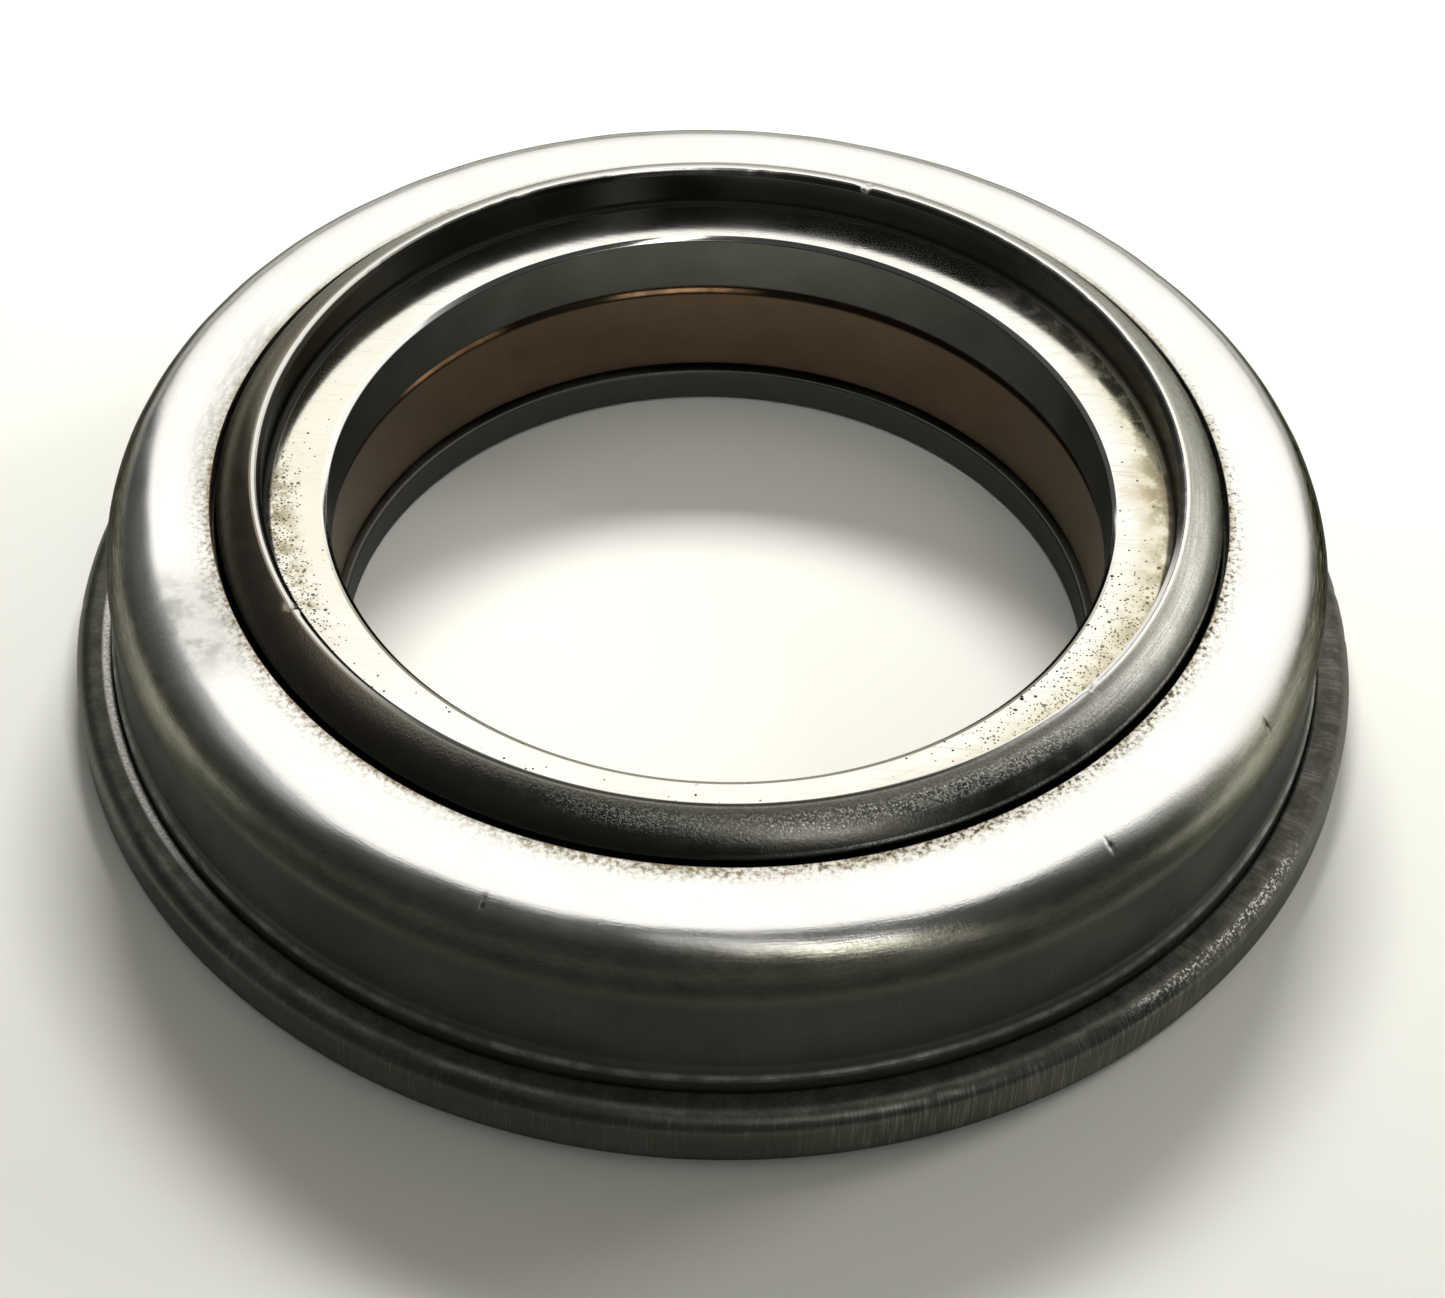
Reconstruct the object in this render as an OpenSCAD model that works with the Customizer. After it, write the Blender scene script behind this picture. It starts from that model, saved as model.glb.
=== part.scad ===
// Thrust ball bearing in a pressed shell, the kind that a clutch release carrier holds.
// The back race stays still on its carrier and carries the shell. The front race turns on
// balls that a bronze cage spaces out, and it stands through the shell's hole as a collar.
// Millimetres, +Z along the shaft axis towards the collar, z = 0 on the back race's back face.
// Every ring is one outline of radius and height, turned about the axis.

/* [Carrier fit] */
// Bore of the back race, a slip fit on a 2-1/2 inch carrier
bore_d = 63.5; // [60:0.1:65]
// How much wider than that bore the turning race is, on the radius
front_relief = 0.4; // [0.2:0.05:1]
// How much wider than that bore the cage is, on the radius
cage_relief = 0.75; // [0.4:0.05:1.2]

/* [Balls and tracks] */
// Diameter of a ball, 7/16 inch
ball_d = 11.1125; // [9:0.1:11.6]
// Number of balls
ball_count = 18; // [8:1:20]
// Depth of the track that is ground into each race
track_depth = 0.83; // [0.5:0.05:1.5]
// Gap between a ball and its tracks
track_gap = 0.15; // [0.1:0.01:0.3]

/* [Back race] */
// Thickness of the back race under the balls
back_t = 3.2; // [2.6:0.1:5]
// Height of the rim that stands round the shell's foot
rim_h = 5; // [4.2:0.1:5.8]
// Width of that rim, from the shell's foot to the outside
rim_w = 3.125; // [2.6:0.1:8]
// Rounding of the rim's upper outer edge
rim_round = 1.6; // [0.4:0.1:2]
// Rounding of the rim's lower outer edge
rim_foot_round = 0.8; // [0.2:0.1:1.2]
// Chamfer where the rim meets the shell's foot
rim_chamfer = 0.4; // [0.1:0.05:0.6]

/* [Front race] */
// Thickness of the front race between its track side and the recess floor
front_t = 5.7; // [4:0.1:8]
// Thickness of the shoulder that the shell's lip holds down
shoulder_t = 4.8; // [3.6:0.1:5.4]
// Width of the recess floor, from the bore to the recess wall
floor_w = 5.15; // [3:0.05:6]
// Depth of that recess
recess_depth = 3.55; // [2.4:0.05:6]
// Chamfer inside the mouth of the recess, on the radius
mouth_chamfer = 0.47; // [0.2:0.01:0.8]
// Width of the flat land on top of the collar
land_w = 0.43; // [0.2:0.01:0.8]
// Width of the crown, from the land to the collar's side
crown_w = 2.85; // [2:0.05:3.4]
// How far the crown falls from the land to the collar's side
crown_drop = 2.4; // [1.6:0.05:2.6]
// Radius of the crown
crown_round = 6.5; // [3:0.1:12]
// Chamfer at the bore of the front race, next to the recess floor
bore_chamfer = 0.4; // [0.2:0.05:0.8]

/* [Shell] */
// Thickness of the shell's sheet
sheet_t = 1.5; // [1:0.1:2]
// Outside rounding between the shell's wall and its flat face
shell_round = 5.1; // [3.2:0.1:5.6]
// Gap between the collar and the edge of the shell's hole
collar_gap = 0.48; // [0.3:0.02:1.5]
// Height of the foot that sits inside the rim
foot_h = 3; // [2.4:0.1:4]
// How far the foot stands out past the wall
flare_w = 0.5; // [0.3:0.05:1]
// Radius of the hollow between the wall and the foot
flare_round = 1.5; // [1:0.1:3]

/* [Ball cage] */
// Wall of the cage between its bore and the ball pockets
cage_in_w = 1.95; // [1.2:0.05:4]
// Wall of the cage between the ball pockets and its outside
cage_out_w = 1.75; // [1.2:0.05:4]
// Gap between the cage and the back race
cage_gap_low = 0.3; // [0.2:0.05:0.8]
// Gap between the cage and the front race
cage_gap_high = 0.45; // [0.2:0.05:0.8]
// Gap between a ball and its pocket
pocket_gap = 0.2; // [0.1:0.05:0.4]
// Chamfer of the cage's upper inner edge
cage_chamfer = 0.5; // [0.2:0.05:0.8]

/* [Running gaps] */
// Gap between the front race's shoulder and the shell's lip
lip_gap = 0.35; // [0.2:0.05:0.8]
// Gap between the front race and the shell's wall
front_side_gap = 0.55; // [0.3:0.05:1]
// Gap between the cage and the shell's wall
cage_side_gap = 1.1; // [0.5:0.05:1.5]
// Gap between the shell's foot and the rim round it
foot_gap = 0.05; // [0.02:0.01:0.1]

/* [Hidden] */
// Chamfer or small round that breaks every other edge
edge = 0.3;
// Facets of a turned ring, of a ball and of a pocket, and pieces in a drawn arc
ring_facets = 180;
ball_facets = 72;
pocket_facets = 64;
arc_pieces = 10;
// How far a cut runs past what it cuts
past = 1;

// Heights, stacked up from the back face
race_gap = ball_d + 2 * track_gap - 2 * track_depth;
ball_z = back_t + race_gap / 2;
front_z = back_t + race_gap;
shoulder_z = front_z + shoulder_t;
floor_z = front_z + front_t;
collar_z = floor_z + recess_depth;
lip_z = shoulder_z + lip_gap;
face_z = lip_z + sheet_t;
foot_z = back_t + foot_h;
cage_low_z = back_t + cage_gap_low;
cage_high_z = front_z - cage_gap_high;

// Radii, from the bore outwards
bore_r = bore_d / 2;
front_bore_r = bore_r + front_relief;
cage_bore_r = bore_r + cage_relief;
recess_r = front_bore_r + floor_w;
collar_edge_r = recess_r + mouth_chamfer;
land_r = collar_edge_r + land_w;
collar_r = land_r + crown_w;
hole_r = collar_r + collar_gap;
pocket_r = ball_d / 2 + pocket_gap;
pitch_r = cage_bore_r + cage_in_w + pocket_r;
cage_r = pitch_r + pocket_r + cage_out_w;
shell_in_r = cage_r + cage_side_gap;
shell_r = shell_in_r + sheet_t;
front_r = shell_in_r - front_side_gap;
foot_r = shell_r + flare_w;
rim_in_r = foot_r + foot_gap;
rim_r = rim_in_r + rim_w;

// The balls run in tracks a little wider than they are
track_r = ball_d / 2 + track_gap;
track_half = acos(1 - track_depth / track_r);

// The shoulder's corner follows the inside of the shell's rounding
corner_round = shell_round - sheet_t - front_side_gap;

// The crown is an arc: the way its middle faces, and the angle to each end
crown_lean = atan2(crown_w, crown_drop);
crown_half = asin(norm([crown_w, crown_drop]) / 2 / crown_round);
// Angle over which the hollow above the shell's foot bends
flare_angle = acos(1 - flare_w / flare_round);

function ball_name(i) = str("ball_", i < 10 ? "0" : "", i);

steel = [0.63, 0.63, 0.61];
dark_steel = [0.27, 0.27, 0.25];
bronze = [0.45, 0.33, 0.20];
ball_steel = [0.80, 0.80, 0.80];

// Directions in an outline: outwards, up, inwards and down
out = 0;
up = 90;
in = 180;
down = 270;

// Points of an arc about [r, z], from the angle a to the angle b
function arc(r, z, radius, a, b) = [
    for (i = [0 : arc_pieces])
        let (t = a + (b - a) * i / arc_pieces) [r + radius * cos(t), z + radius * sin(t)]
];

module turned(outline) {
    rotate_extrude($fn = ring_facets) polygon(outline);
}

// Ring that stays still: bore for the carrier, ball track, and a rim round the shell's foot
function back_outline() = concat(
    [[bore_r, edge], [bore_r + edge, 0]],
    arc(rim_r - rim_foot_round, rim_foot_round, rim_foot_round, down - 360, out),
    arc(rim_r - rim_round, rim_h - rim_round, rim_round, out, up),
    [[rim_in_r + rim_chamfer, rim_h], [rim_in_r, rim_h - rim_chamfer], [rim_in_r, back_t]],
    arc(pitch_r, ball_z, track_r, down + track_half, down - track_half),
    [[bore_r + edge, back_t], [bore_r, back_t - edge]]
);

module back_race() {
    color(dark_steel) turned(back_outline());
}

// Pressed cover: foot in the rim, hollow flare, wall, rounded edge, flat face with a hole
function shell_outline() = concat(
    [[shell_in_r, back_t], [foot_r, back_t], [foot_r, foot_z]],
    arc(shell_r + flare_round, foot_z + flare_round * sin(flare_angle), flare_round,
        in + flare_angle, in),
    arc(shell_r - shell_round, face_z - shell_round, shell_round, out, up),
    arc(hole_r + edge, face_z - edge, edge, up, in),
    [[hole_r, lip_z]],
    arc(shell_r - shell_round, face_z - shell_round, shell_round - sheet_t, up, out)
);

module shell() {
    color(steel) turned(shell_outline());
}

// Ring that turns: ball track below, shoulder under the shell's lip, collar round a recess
function front_outline() = concat(
    [[front_bore_r, front_z + edge], [front_bore_r + edge, front_z]],
    arc(pitch_r, ball_z, track_r, up + track_half, up - track_half),
    [[front_r - edge, front_z], [front_r, front_z + edge]],
    arc(front_r - corner_round, shoulder_z - corner_round, corner_round, out, up),
    arc(collar_r + edge, shoulder_z + edge, edge, down, in),
    arc(land_r - crown_round * cos(crown_lean + crown_half),
        collar_z - crown_round * sin(crown_lean + crown_half),
        crown_round, crown_lean - crown_half, crown_lean + crown_half),
    [[collar_edge_r, collar_z], [recess_r, collar_z - mouth_chamfer]],
    arc(recess_r - edge, floor_z + edge, edge, out, down - 360),
    [[front_bore_r + bore_chamfer, floor_z], [front_bore_r, floor_z - bore_chamfer]]
);

module front_race() {
    color(steel) turned(front_outline());
}

// Bronze ring that spaces the balls out, with a drilled pocket for each
function cage_outline() = [
    [cage_bore_r, cage_low_z + edge],
    [cage_bore_r + edge, cage_low_z],
    [cage_r - edge, cage_low_z],
    [cage_r, cage_low_z + edge],
    [cage_r, cage_high_z - edge],
    [cage_r - edge, cage_high_z],
    [cage_bore_r + cage_chamfer, cage_high_z],
    [cage_bore_r, cage_high_z - cage_chamfer]
];

// Puts its children at the place of ball i, counted from 1
module at_ball(i) {
    rotate([0, 0, 360 * (i - 1) / ball_count]) translate([pitch_r, 0, ball_z]) children();
}

module ball_cage() {
    color(bronze) difference() {
        turned(cage_outline());
        for (i = [1 : ball_count])
            at_ball(i)
                cylinder(h = race_gap + 2 * past, r = pocket_r, center = true, $fn = pocket_facets);
    }
}

module ball(i) {
    color(ball_steel) at_ball(i) sphere(d = ball_d, $fn = ball_facets);
}

back_race();
shell();
front_race();
ball_cage();
for (i = [1 : ball_count]) ball(i);
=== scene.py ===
# %% [markdown]
# # A thrust ball bearing in a pressed steel shell
#
# The real thing is a set of rings round one axis. A ground back race with a rim stands on
# the table. A shell pressed from steel sheet stands in that rim. Through the hole of the
# shell comes the collar of the front race, which turns. Between the races a bronze cage
# spaces out the balls, and its inner wall shows through the bore.
#
# The CAD model fixes every size, so this file only adds what a drawing leaves out: fine
# roundings, small dents, ground and brushed finishes, rust pits, grime and light. Some light
# and shade is painted into the colours as well: highlights, glints and shade.

# %% Load the imported model
import math
from functools import reduce

import bmesh
import bpy
import numpy as np
from mathutils import Matrix, Vector
from mathutils.bvhtree import BVHTree


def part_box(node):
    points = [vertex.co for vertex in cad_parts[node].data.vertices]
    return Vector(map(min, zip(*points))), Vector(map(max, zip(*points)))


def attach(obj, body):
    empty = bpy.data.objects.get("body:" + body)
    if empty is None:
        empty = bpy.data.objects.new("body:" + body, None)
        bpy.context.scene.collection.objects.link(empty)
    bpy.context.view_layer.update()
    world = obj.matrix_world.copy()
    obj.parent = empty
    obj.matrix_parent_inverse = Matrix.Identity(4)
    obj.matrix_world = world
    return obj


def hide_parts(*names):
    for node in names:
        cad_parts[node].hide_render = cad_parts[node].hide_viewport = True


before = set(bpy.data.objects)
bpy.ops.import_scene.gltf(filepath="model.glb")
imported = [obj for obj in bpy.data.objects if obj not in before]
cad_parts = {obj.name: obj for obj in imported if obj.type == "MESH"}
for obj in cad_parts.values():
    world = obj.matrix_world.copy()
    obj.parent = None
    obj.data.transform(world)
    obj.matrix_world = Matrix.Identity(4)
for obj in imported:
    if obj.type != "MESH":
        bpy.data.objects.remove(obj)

MM = 0.001  # the CAD is drawn in millimetres, Blender in metres
bpy.context.scene.view_settings.view_transform = "Standard"
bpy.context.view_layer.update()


def add_object(name, data):
    """A new object in the scene for a mesh, a lamp or a camera."""
    made = bpy.data.objects.new(name, data)
    bpy.context.scene.collection.objects.link(made)
    return made


# %% [markdown]
# ## Picture points
#
# These are the only numbers that come from the picture. They are pixels, counted from the
# upper left corner of a frame of 1445 by 1298. The first four are the outline's extremes.
# The others are features that set the camera or that place a mark on the metal. The four
# edges and bore_right were read first and then moved 1 to 4 pixels towards the model.

# %% Picture points
W, H = 1445, 1298
LONG_SIDE = max(W, H)
edges = {"left": 79.0, "right": 1350.5, "top": 131.0, "bottom": 1162.0}
points = {
    "bore_left": (322.0, 500.0),
    "bore_right": (1114.0, 522.5),
    "bore_front": (705.0, 779.5),
    "collar_edge_back": (700.0, 170.0),
    "collar_edge_front": (735.0, 803.0),
    "flat_inner_edge_front": (735.0, 866.0),
    "nick_left": (296.0, 604.0),
    "nick_right": (1086.0, 686.0),
    "nick_back": (868.0, 186.0),
    "floor_stain": (1165.0, 490.0),
    "pits_left": (292.0, 548.0),
    "pits_right": (1075.0, 672.0),
    "flat_cloud": (196.0, 622.0),
    "dent_right": (1110.0, 845.0),
    "dent_far_right": (1267.0, 725.0),
    "scratch_left": (482.0, 905.0),
}
print(len(edges) + len(points), "picture points")

# %% [markdown]
# ## Camera
#
# The picture was taken from close by, about 27 cm away and 46 degrees up, so the near side
# looks larger than the far side. A camera is a place, a direction and a lens. All three
# were fitted to the edges of the rings, and the aim alone does it: the lens is not shifted.

# %% Camera
CAMERA_PLACE = Vector((0.0, -0.185558, 0.192456))
YAW, PITCH, ROLL = 0.0038, 0.8058, 0.0416  # radians: to the right, down, and tilted
SENSOR = 36.0
LENS = 3089.9 * SENSOR / LONG_SIDE  # the fitted lens was 3089.9 pixels long

ahead = Vector((math.sin(YAW) * math.cos(PITCH), math.cos(YAW) * math.cos(PITCH), -math.sin(PITCH)))
level = Vector((math.cos(YAW), -math.sin(YAW), 0.0))
upright = level.cross(ahead)
across = level * math.cos(ROLL) + upright * math.sin(ROLL)
upward = upright * math.cos(ROLL) - level * math.sin(ROLL)

camera = add_object("camera", bpy.data.cameras.new("camera"))
bpy.context.scene.camera = camera
camera.data.sensor_fit = "AUTO"
camera.data.sensor_width = SENSOR
camera.data.lens = LENS
camera.data.clip_start, camera.data.clip_end = 0.01, 20.0
turned = Matrix((across, upward, -ahead)).transposed()
camera.matrix_world = Matrix.Translation(CAMERA_PLACE) @ turned.to_4x4()
lens_pixels = LONG_SIDE * camera.data.lens / camera.data.sensor_width
print("lens", round(LENS, 2), "mm, aimed at", [round(v, 3) for v in ahead])


def ray_at(x, y):
    """Start and direction of the ray that the camera sends through pixel (x, y)."""
    local = Vector((x - W / 2, H / 2 - y, -lens_pixels))
    return camera.matrix_world.translation, (camera.matrix_world.to_3x3() @ local).normalized()


def pixel_of(xyz):
    """Pixels of many points at once: each is turned into camera axes and divided by its depth."""
    place = np.array(camera.matrix_world.translation)
    axes = np.array(camera.matrix_world.to_3x3())
    seen = (np.atleast_2d(xyz) - place) @ axes
    scale = lens_pixels / -seen[:, 2]
    return np.stack([W / 2 + seen[:, 0] * scale, H / 2 - seen[:, 1] * scale], 1)


# %% [markdown]
# ## From a picture point to the model
#
# A picture point has no depth. Its ray is followed from the camera until it meets a surface
# of the CAD model, and that place in millimetres is where the mark belongs.

# %% Finding a picture point on the model
def ray_tree(thing):
    """A search tree that finds where a ray meets an object."""
    bm = bmesh.new()
    bm.from_mesh(thing.data)
    bm.transform(thing.matrix_world)
    found = BVHTree.FromBMesh(bm)
    bm.free()
    return found


RINGS = ("back_race", "shell", "front_race", "ball_cage")
cad_trees = [ray_tree(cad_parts[name]) for name in RINGS]


def where(name):
    """The place that a picture point shows on the CAD model, in millimetres."""
    start, way = ray_at(*points[name])
    hits = [tree.ray_cast(start, way) for tree in cad_trees]
    hits = [(distance, place / MM) for place, normal, face, distance in hits if place is not None]
    return np.array(min(hits, key=lambda hit: hit[0])[1]) if hits else at_height(name, 0.0)


def at_height(name, z):
    """Where the ray of a picture point passes the height z, in millimetres."""
    start, way = ray_at(*points[name])
    return np.array((start + way * ((z * MM - start.z) / way.z)) / MM)


print({name: [round(float(v), 1) for v in where(name)] for name in points})

# %% [markdown]
# ## Rings from outlines
#
# A lathe makes a ring by turning an outline about the axis, and so does this file. The
# outline is a closed row of points (r, z). A corner gets a rounding, because light shows
# every edge of polished metal as a thin bright line, and a razor-sharp edge shows none.

# %% Rounded outlines
def arc(r, z, radius, start, end, steps=12):
    """Points of a circle round (r, z): r + radius cos t, z + radius sin t, t in degrees."""
    t = np.radians(np.linspace(start, end, steps + 1))
    return np.stack([r + radius * np.cos(t), z + radius * np.sin(t)], 1)


def corner(before, at, after, radius, steps=5):
    """Points of a circle that touches both straight sides at a corner.

    The circle touches each side at radius / tan(half the corner's angle) from the corner,
    and its centre lies on the line that halves the angle.
    """
    before, at, after = (np.array(p, float) for p in (before, at, after))
    a, b = before - at, after - at
    a, b = a / np.linalg.norm(a), b / np.linalg.norm(b)
    half = math.acos(np.clip(a @ b, -1, 1)) / 2
    middle = (a + b) / np.linalg.norm(a + b)
    centre = at + middle * radius / math.sin(half)
    first, last = (at + side * radius / math.tan(half) - centre for side in (a, b))
    turn = math.atan2(first[0] * last[1] - first[1] * last[0], first @ last)
    t = turn * np.linspace(0, 1, steps + 1)
    return centre + np.stack([first[0] * np.cos(t) - first[1] * np.sin(t),
                              first[0] * np.sin(t) + first[1] * np.cos(t)], 1)


def outline(parts, longest=0.8, beside=0.06):
    """Joins points, arcs and rounded corners into one closed row of points.

    A part is an array of points as it is, or (point, radius) for a corner to be rounded.
    Straight runs longer than `longest` get points between, and one `beside` each end, so
    that smooth shading leaves the flats flat.
    """
    ends = [(p[0], p[-1]) if isinstance(p, np.ndarray) else (np.array(p[0]),) * 2 for p in parts]
    row = []
    for i, part in enumerate(parts):
        if isinstance(part, np.ndarray):
            row.append(part)
        elif part[1] == 0:
            row.append(np.array([part[0]], float))
        else:
            row.append(corner(ends[i - 1][1], part[0], ends[(i + 1) % len(parts)][0], part[1]))
    row = np.concatenate(row)
    after = np.roll(row, -1, 0)
    filled = []
    for p, q in zip(row, after):
        length = np.linalg.norm(q - p)
        if length < 1e-6:
            continue
        stops = [0.0]
        if length > longest:
            count = int(math.ceil((length - 2 * beside) / longest))
            stops += list((beside + (length - 2 * beside) * np.linspace(0, 1, count + 1)) / length)
        filled.append(p + (q - p) * np.array(stops)[:, None])
    return np.concatenate(filled)


def waves(angle, seed, turns, height):
    """A gentle random wave round a ring: a sum of cosines of whole numbers of turns."""
    rng = np.random.default_rng(seed)
    phase, size = rng.uniform(0, 2 * np.pi, len(turns)), rng.uniform(0.5, 1, len(turns))
    return height * sum(s * np.cos(k * angle + p) for k, s, p in zip(turns, size, phase)) / len(turns)


# %% [markdown]
# ## From an outline to a mesh
#
# The surface is a grid: one way round the axis, the other way along the outline. Point
# (i, j) is (r cos a, r sin a, z), so the whole ring is worked out as two arrays. The grid
# closes on itself both ways, which leaves no seam and no open edge.

# %% Turning a ring
def shade(mesh, sharp=32):
    """Shades a mesh smooth, except along edges that bend by more than `sharp` degrees."""
    mesh.shade_smooth()
    mesh.set_sharp_from_angle(angle=math.radians(sharp))


def new_piece(name, xyz, faces):
    """Puts arrays of vertices and faces into a smooth-shaded object at the origin."""
    mesh = bpy.data.meshes.new(name)
    mesh.from_pydata(xyz.tolist(), [], faces.tolist())
    shade(mesh)
    return add_object(name, mesh)


def spaced(around, close=(), wide=0.022, times=8):
    """Angles round a ring, closer together near the angles in `close`.

    The density is 1 + times exp(-(gap / wide)^2). Its running sum, read backwards, spreads
    the angles so that each takes an equal share.
    """
    a = np.linspace(0, 2 * np.pi, 20001)
    gap = np.abs((a[:, None] - np.array(close)[None, :] + np.pi) % (2 * np.pi) - np.pi)
    share = np.cumsum(1 + times * np.exp(-(gap / wide) ** 2).sum(1))
    share = (share - share[0]) / (share[-1] - share[0])
    return np.interp(np.arange(around) / around, share, a)


def turned_grid(row, angles, dent=None):
    """Vertices of the ring: r cos a, r sin a, z in metres, after `dent` has moved r and z.

    dent(a, r, z) gives what to add to r and to z, both in millimetres, as whole arrays.
    """
    a = angles[:, None]
    r, z = (np.broadcast_to(row[:, k], (len(angles), len(row))) for k in (0, 1))
    if dent:
        more_r, more_z = dent(a, r, z)
        r, z = r + more_r, z + more_z
    return np.stack([r * np.cos(a), r * np.sin(a), z + 0 * a], -1).reshape(-1, 3) * MM


def grid_faces(rows, columns, closed_rows=True, closed_columns=True):
    """Faces that join grid point (i, j) to its neighbours. A closed side joins its end to its start."""
    i, j = np.indices((rows - (not closed_rows), columns - (not closed_columns)))
    row, next_row = i * columns, (i + 1) % rows * columns
    j2 = (j + 1) % columns
    return np.stack([row + j, row + j2, next_row + j2, next_row + j], -1).reshape(-1, 4)


def ring(name, row, angles, dent=None):
    """A ring turned from a closed outline, with its faces pointing outwards."""
    r, z = row.T
    clockwise = np.sum(r * np.roll(z, -1) - np.roll(r, -1) * z) < 0
    faces = grid_faces(len(angles), len(row))[:, [0, 3, 2, 1]]
    return new_piece(name, turned_grid(row, angles, dent), faces[:, ::-1] if clockwise else faces)


# %% [markdown]
# ## Sizes
#
# The nodes' boxes give the main sizes. The others repeat the numbers of the CAD model.

# %% Sizes in millimetres
def reach(node):
    """Largest radius, lowest and highest z of a CAD node, in millimetres."""
    low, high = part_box(node)
    return high.x / MM, low.z / MM, high.z / MM


rim_r = reach("back_race")[0]
shell_foot_r, shell_low_z, face_z = reach("shell")
front_r, front_z, collar_z = reach("front_race")
cage_r, cage_low_z, cage_high_z = reach("ball_cage")
back_t, rim_h, foot_z = shell_low_z, 5.0, shell_low_z + 3.0
bore_r, front_bore_r, cage_bore_r = 31.75, 32.15, 32.5
pitch_r, ball_z, track_r, track_depth = 40.20625, 8.07625, 5.70625, 0.83
sheet_t, shell_round = 1.5, 5.1
floor_z, recess_r = front_z + 5.7, 37.3
shell_r, shell_in_r = shell_foot_r - 0.5, shell_foot_r - 2.0
lip_z, shoulder_z = face_z - sheet_t, face_z - sheet_t - 0.35
mouth_r, land_r, collar_r, hole_r = 37.77, 38.2, 41.05, 41.53
track_half = math.degrees(math.acos(1 - track_depth / track_r))
print("rim", round(rim_r, 3), "shell face", round(face_z, 3), "collar", round(collar_z, 3))

# %% [markdown]
# ## The three steel rings
#
# Each outline runs once round the ring's section, corner by corner, as it would be turned.

# %% Outlines of the steel rings
EDGE = 0.3  # rounding of an edge that has no other
RIM_ROUND, RIM_FOOT_ROUND, FLARE_ROUND = 1.6, 0.8, 1.5
flare = math.degrees(math.acos(1 - 0.5 / FLARE_ROUND))
back_row = outline([
    ((bore_r, 0), EDGE),
    arc(rim_r - RIM_FOOT_ROUND, RIM_FOOT_ROUND, RIM_FOOT_ROUND, -90, 0, 10),
    arc(rim_r - RIM_ROUND, rim_h - RIM_ROUND, RIM_ROUND, 0, 90, 16),
    ((shell_foot_r + 0.05, rim_h), 0.35),
    ((shell_foot_r + 0.05, back_t), 0),
    arc(pitch_r, ball_z, track_r, -90 + track_half, -90 - track_half, 16),
    ((bore_r, back_t), EDGE),
])
shell_row = outline([
    ((shell_in_r, back_t), 0.12),
    ((shell_foot_r, back_t), 0.12),
    ((shell_foot_r, foot_z), 0.12),
    arc(shell_r + FLARE_ROUND, foot_z + FLARE_ROUND * math.sin(math.radians(flare)), FLARE_ROUND,
        180 + flare - 7, 180, 8),
    arc(shell_r - shell_round, face_z - shell_round, shell_round, 0, 90, 28),
    ((hole_r, face_z), 0.12),
    ((hole_r, lip_z), 0.1),
    arc(shell_r - shell_round, face_z - shell_round, shell_round - sheet_t, 90, 0, 14),
])
corner_round = shell_round - sheet_t - 0.55  # the shoulder stays clear of the shell's inner bend
CROWN, CROWN_DROP = 6.5, 2.4  # the collar's crown: its radius, and how far it falls outwards
crown_lean = math.degrees(math.atan2(collar_r - land_r, CROWN_DROP))
crown_half = math.degrees(math.asin(math.hypot(collar_r - land_r, CROWN_DROP) / 2 / CROWN))
crown_top = math.radians(crown_lean + crown_half)
front_row = outline([
    ((front_bore_r, front_z), EDGE),
    arc(pitch_r, ball_z, track_r, 90 + track_half, 90 - track_half, 16),
    ((front_r, front_z), EDGE),
    arc(front_r - corner_round, shoulder_z - corner_round, corner_round, 0, 90, 10),
    arc(collar_r + EDGE, shoulder_z + EDGE, EDGE, 270, 180, 4),
    ((collar_r, collar_z - CROWN_DROP - 0.05), 0.12),
    arc(land_r - CROWN * math.cos(crown_top), collar_z - CROWN * math.sin(crown_top), CROWN,
        crown_lean - crown_half + 1, crown_lean + crown_half - 2, 24),
    ((land_r, collar_z), 0.1),
    ((mouth_r, collar_z), 0.06),
    ((recess_r, collar_z - 0.47), 0.05),
    arc(recess_r - EDGE, floor_z + EDGE, EDGE, 0, -90, 5),
    ((front_bore_r + 0.4, floor_z), 0.1),
    ((front_bore_r, floor_z - 0.4), 0.1),
])
print("outline points:", [len(row) for row in (back_row, shell_row, front_row)])

# %% [markdown]
# ## Knocks
#
# A bearing that has lain in a toolbox has nicks on its sharp edge and dents on its bend.
# Each is a small hollow in the geometry: deep exp(-(d / wide)^2), with d the distance from
# its middle. The large ones are where the picture shows them, the small ones are random.

# %% Knocks
def hollow(a, r, z, at, wide, deep):
    """How far each point sinks: `at` is (angle, r, z), `wide` its size around, in r and in z."""
    around = ((a - at[0] + np.pi) % (2 * np.pi) - np.pi) * at[1]
    away = -(around / wide[0]) ** 2 - ((r - at[1]) / wide[1]) ** 2 - ((z - at[2]) / wide[2]) ** 2
    return deep * np.exp(away)


nick_places = [at_height(name, collar_z) for name in ("nick_left", "nick_right", "nick_back")]
nick_angles = [math.atan2(y, x) for x, y, z in nick_places]
dent_places = [where(name) for name in ("dent_right", "dent_far_right", "scratch_left")]
dent_angles = [math.atan2(y, x) for x, y, z in dent_places]
chips = np.random.default_rng(11).uniform([-0.9, 0.03, 0.25], [2.9, 0.09, 0.5], (46, 3))


def mouth_knocks(a, r, z):
    """Nicks and small chips on the collar's sharp edge."""
    sink = sum(hollow(a, r, z, (angle, 37.9, collar_z), (0.4, 0.45, 0.4), 0.28) for angle in nick_angles)
    burr = sum(hollow(a, r, z, (angle + 0.02, mouth_r, collar_z), (0.3, 0.3, 0.4), 0.15)
               for angle in nick_angles)
    sink = sink + sum(hollow(a, r, z, (angle, mouth_r, collar_z), (wide, 0.2, 0.25), deep)
                      for angle, deep, wide in chips)
    return -burr, -sink


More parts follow.
